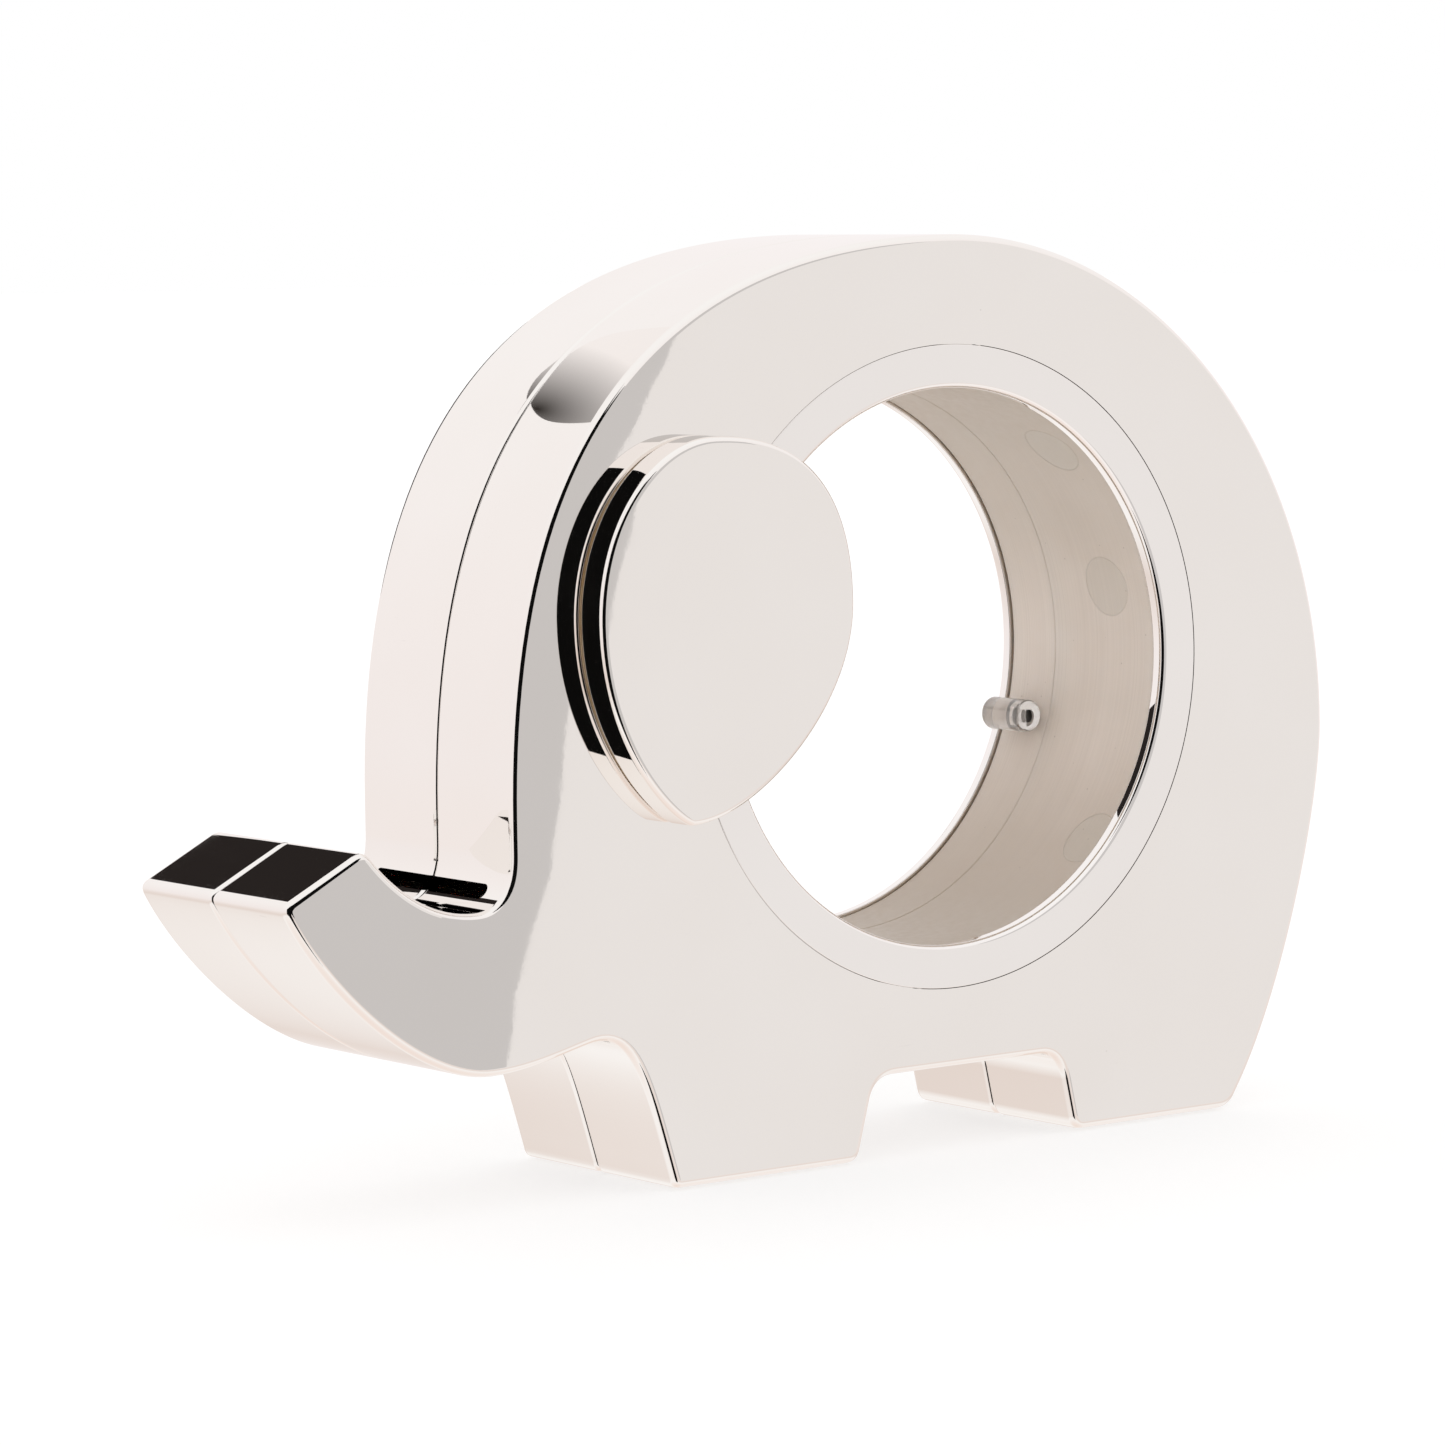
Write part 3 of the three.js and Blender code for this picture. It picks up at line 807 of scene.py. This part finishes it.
def short_sleeve():
    """The sleeve with the spigot, bored for the peg's stem."""
    end, step = LEDGE_OUT, (SLEEVE_INNER + SLEEVE_OUTER) / 2 + PLAY / 2
    spigot = SLEEVE_JOIN_Y - SPIGOT_LENGTH + PLAY
    shoulder = SLEEVE_JOIN_Y + JOIN_GAP
    corners = (
        (SLEEVE_OUTER, spigot, 0.1), (SLEEVE_OUTER, end, 0.2), (SLEEVE_INNER, end, 0.25),
        (SLEEVE_INNER, shoulder, 0.22), (step, shoulder, 0), (step, spigot, 0.1),
    )
    made = object_from(turned(rounded(corners)), "hub_short_sleeve_moulding")
    combine(made, [radial_bar(PEG_STEM_RADIUS + PLAY, 30, 40)], "DIFFERENCE")
    finish_piece(made, "hub", "frosted_plastic", FROSTED, "hub_short_sleeve")


def finger_peg():
    """A small clear peg on a stem through the sleeve, with a rectangular socket in its end."""
    x, z = PEG_ORBIT * math.cos(PEG_ANGLE), PEG_ORBIT * math.sin(PEG_ANGLE)
    made = object_from(bar(PEG_RADIUS, (x, z), *PEG_SPAN, 0.45), "hub_peg_clear")
    combine(made, [radial_bar(PEG_STEM_RADIUS, PEG_ORBIT, PEG_STEM_END, 0.2)], "UNION")
    wide, deep, high = PEG_SOCKET
    end = PEG_SPAN[0]
    socket = box((x - wide, end - deep, z - high), (x + wide, end + deep, z + high))
    combine(made, [socket], "DIFFERENCE")
    finish_piece(made, "hub", "clear_plastic", CLEAR, "hub_finger_peg")


for name, side in SIDES.items():
    shell(name, side)
    ring_plate(name, side)
    ear_shim(name, side)
    ear_plate(name, side)
    for where, spot in EAR_SCREW_PLACES.items():
        ear_screw(name, side, where, spot)
    for where, spot in MAGNET_PLACES.items():
        magnet(name, side, where, spot)
    for where, spot in PAD_PLACES.items():
        foot_pad(name, side, where, spot)
for where, spot in PIN_PLACES.items():
    locating_pin(where, spot)
cutter_blade()
long_sleeve()
short_sleeve()
finger_peg()


# ---- studio --------------------------------------------------------------------------------
WHITE = (1, 1, 1, 1)
BLACK = (0.004, 0.004, 0.004, 1)
DUSK = (0.022, 0.018, 0.017, 1)
BROWN = (0.03, 0.025, 0.022, 1)
BLUSH = (0.965, 0.93, 0.92, 1)
GREY = (0.62, 0.605, 0.6, 1)
PALE = (0.863, 0.841, 0.83, 1)
NEAR_WALL = -HALF_THICKNESS - 350  # stations of the panels, in millimetres
NEAR_STAND = -HALF_THICKNESS - 60
FAR_STAND = HALF_THICKNESS + 60
FAR_WALL = HALF_THICKNESS + 400
ROOM_BELOW = (0.94, 0.83, 0.775, 1)
ROOM_COLOURS = (  # from straight down at 0, over level at 0.5, to straight up at 1
    (0.2, (1, 0.985, 0.975, 1)),
    (0.295, (0.83, 0.745, 0.70, 1)),
    (0.44, (0.947, 0.893, 0.878, 1)),
    (0.48, (0.95, 0.905, 0.90, 1)),
    (0.6, (0.965, 0.925, 0.92, 1)),
)
FLOOR_REACH = 6  # in metres
FLOOR_COLOUR = (0.42, 0.418, 0.415, 1)
FLOOR_GLOW = 0.62


def smooth_card(*points):
    """A closed curve through given points."""
    points = [Vector(p) for p in points]
    count, steps = len(points), 12
    outline = []
    for i in range(count):
        a, b, c, d = (points[(i + k) % count] for k in (-1, 0, 1, 2))
        for step in range(steps):
            t = step / steps
            outline.append(0.5 * (2 * b + (c - a) * t + (2 * a - 5 * b + 4 * c - d) * t**2
                                  + (3 * b - a - 3 * c + d) * t**3))
    return [(p.x, p.y) for p in outline]


def card(name, corners, station, colour, fade=None):
    """An upright panel that only shows in the plating; corners are side-view points.

    A fade of (centre, reach, edge colour) blends the colour out from a centre."""
    bm = bmesh.new()
    bm.faces.new([bm.verts.new(side_view(x, z, station)) for x, z in corners])
    made = object_from(bm, name)
    glow = bpy.data.materials.new(name)
    glow.use_nodes = True
    add, link = glow.node_tree.nodes.new, glow.node_tree.links.new
    glow.node_tree.nodes.clear()
    emission = add("ShaderNodeEmission")
    emission.inputs["Color"].default_value = colour
    if fade:
        centre, reach, edge = fade
        place = add("ShaderNodeTexCoord")
        mapping = add("ShaderNodeMapping")
        mapping.vector_type = "TEXTURE"
        mapping.inputs["Location"].default_value = side_view(*centre, station)
        mapping.inputs["Scale"].default_value = (reach[0] * MM, 1, reach[1] * MM)
        ball = add("ShaderNodeTexGradient")
        ball.gradient_type = "SPHERICAL"
        blend = add("ShaderNodeMix")
        blend.data_type = "RGBA"
        blend.inputs[6].default_value = edge
        blend.inputs[7].default_value = colour
        link(place.outputs["Object"], mapping.inputs["Vector"])
        link(mapping.outputs["Vector"], ball.inputs["Vector"])
        link(ball.outputs["Fac"], blend.inputs[0])
        link(blend.outputs[2], emission.inputs["Color"])
    link(emission.outputs[0], add("ShaderNodeOutputMaterial").inputs["Surface"])
    made.data.materials.append(glow)
    for flag in ("visible_camera", "visible_diffuse", "visible_shadow", "visible_transmission"):
        setattr(made, flag, False)


def paper_floor():
    """A bright floor that the plating doesn't show."""
    bpy.ops.mesh.primitive_circle_add(vertices=96, radius=FLOOR_REACH, fill_type="NGON")
    floor = bpy.context.object
    floor.name = "studio_floor"
    floor.visible_glossy = False
    look = bpy.data.materials.new("floor_paper")
    look.use_nodes = True
    inputs = look.node_tree.nodes["Principled BSDF"].inputs
    inputs["Base Color"].default_value = FLOOR_COLOUR
    inputs["Roughness"].default_value = 0.9
    inputs["Emission Color"].default_value = WHITE
    inputs["Emission Strength"].default_value = FLOOR_GLOW
    floor.data.materials.append(look)


def white_room():
    """White to the camera; to all else a room that is warmer and darker low down."""
    world = bpy.data.worlds.new("white_studio")
    bpy.context.scene.world = world
    world.use_nodes = True
    add, link = world.node_tree.nodes.new, world.node_tree.links.new
    world.node_tree.nodes.clear()
    direction = add("ShaderNodeTexCoord")
    parts = add("ShaderNodeSeparateXYZ")
    height = add("ShaderNodeMapRange")
    height.inputs["From Min"].default_value = -1
    ramp = add("ShaderNodeValToRGB")
    stops = ramp.color_ramp.elements
    stops[0].color = ROOM_BELOW
    stops[1].color = WHITE
    for position, colour in ROOM_COLOURS:
        stops.new(position).color = colour
    rays = add("ShaderNodeLightPath")
    seen = add("ShaderNodeMix")
    seen.data_type = "RGBA"
    seen.inputs[7].default_value = WHITE
    background = add("ShaderNodeBackground")
    link(direction.outputs["Generated"], parts.inputs[0])
    link(parts.outputs["Z"], height.inputs["Value"])
    link(height.outputs[0], ramp.inputs[0])
    link(rays.outputs["Is Camera Ray"], seen.inputs[0])
    link(ramp.outputs[0], seen.inputs[6])
    link(seen.outputs[2], background.inputs["Color"])
    link(background.outputs[0], add("ShaderNodeOutputWorld").inputs["Surface"])


card("front_flag", smooth_card(
    (-170, -38), (-120, -40), (-80, -40), (-76, -5), (-66, 35),
    (-46, 62), (-52, 76), (-90, 80), (-150, 70), (-175, 20),
), NEAR_STAND, BLACK)
card("back_flag", smooth_card(
    (-74, 22), (-60, 16), (-12, 20), (-8, 44), (-16, 64), (-40, 76), (-64, 73), (-75, 52),
), FAR_STAND, DUSK)
card("tip_flag", smooth_card(
    (0, 206), (9, 208), (22, 216), (32, 230), (30, 248), (14, 246), (7, 236), (1, 222),
), FAR_WALL, DUSK)
card("brow_flag", smooth_card(
    (-74, 89.5), (-64, 87.5), (-44, 93), (-22, 101), (-14, 118), (-34, 124), (-60, 114), (-74, 102),
), FAR_STAND, BROWN, ((-67, 88), (36, 25), BLUSH))
camera_flag = [(-700, -350), (-150, -350), (-95, 0), (-150, 450), (-700, 450)]
card("camera_flag", camera_flag, NEAR_WALL + 6, BLACK)
grey_edge = [
    (168, -160), (176, -96), (186, -72), (188, -55), (190, -44),
    (196, -12), (204, 9), (219, 33), (260, 90), (300, 200),
]
card("grey_panel", [(-700, -160), *grey_edge, (-700, 200)], NEAR_WALL, GREY)
card("pale_panel", [*grey_edge, (1200, 200), (1200, -160)], NEAR_WALL, PALE)
paper_floor()
white_room()

# ---- camera --------------------------------------------------------------------------------
AZIMUTH, ELEVATION, ROLL = (math.radians(angle) for angle in (-37.03, 5.465, -0.935))
AIM = HUB + Vector((-36.28, -16.2, -4.36)) * MM
DISTANCE = 0.6929
FOCAL_LENGTH = 142
SENSOR_WIDTH = 36
away = math.cos(ELEVATION)
backward = Vector((math.sin(AZIMUTH) * away, -math.cos(AZIMUTH) * away, math.sin(ELEVATION)))
level = Vector((math.cos(AZIMUTH), math.sin(AZIMUTH), 0))
upright = backward.cross(level)
rightward = level * math.cos(ROLL) + upright * math.sin(ROLL)
upward = upright * math.cos(ROLL) - level * math.sin(ROLL)
lens = bpy.data.cameras.new("camera")
lens.lens = FOCAL_LENGTH
lens.sensor_width = SENSOR_WIDTH
lens.clip_start = 0.01
camera = bpy.data.objects.new("camera", lens)
bpy.context.scene.collection.objects.link(camera)
axes = Matrix((rightward, upward, backward)).transposed().to_4x4()
camera.matrix_world = Matrix.Translation(AIM + backward * DISTANCE) @ axes
bpy.context.scene.camera = camera
bpy.context.scene.view_settings.view_transform = "Standard"
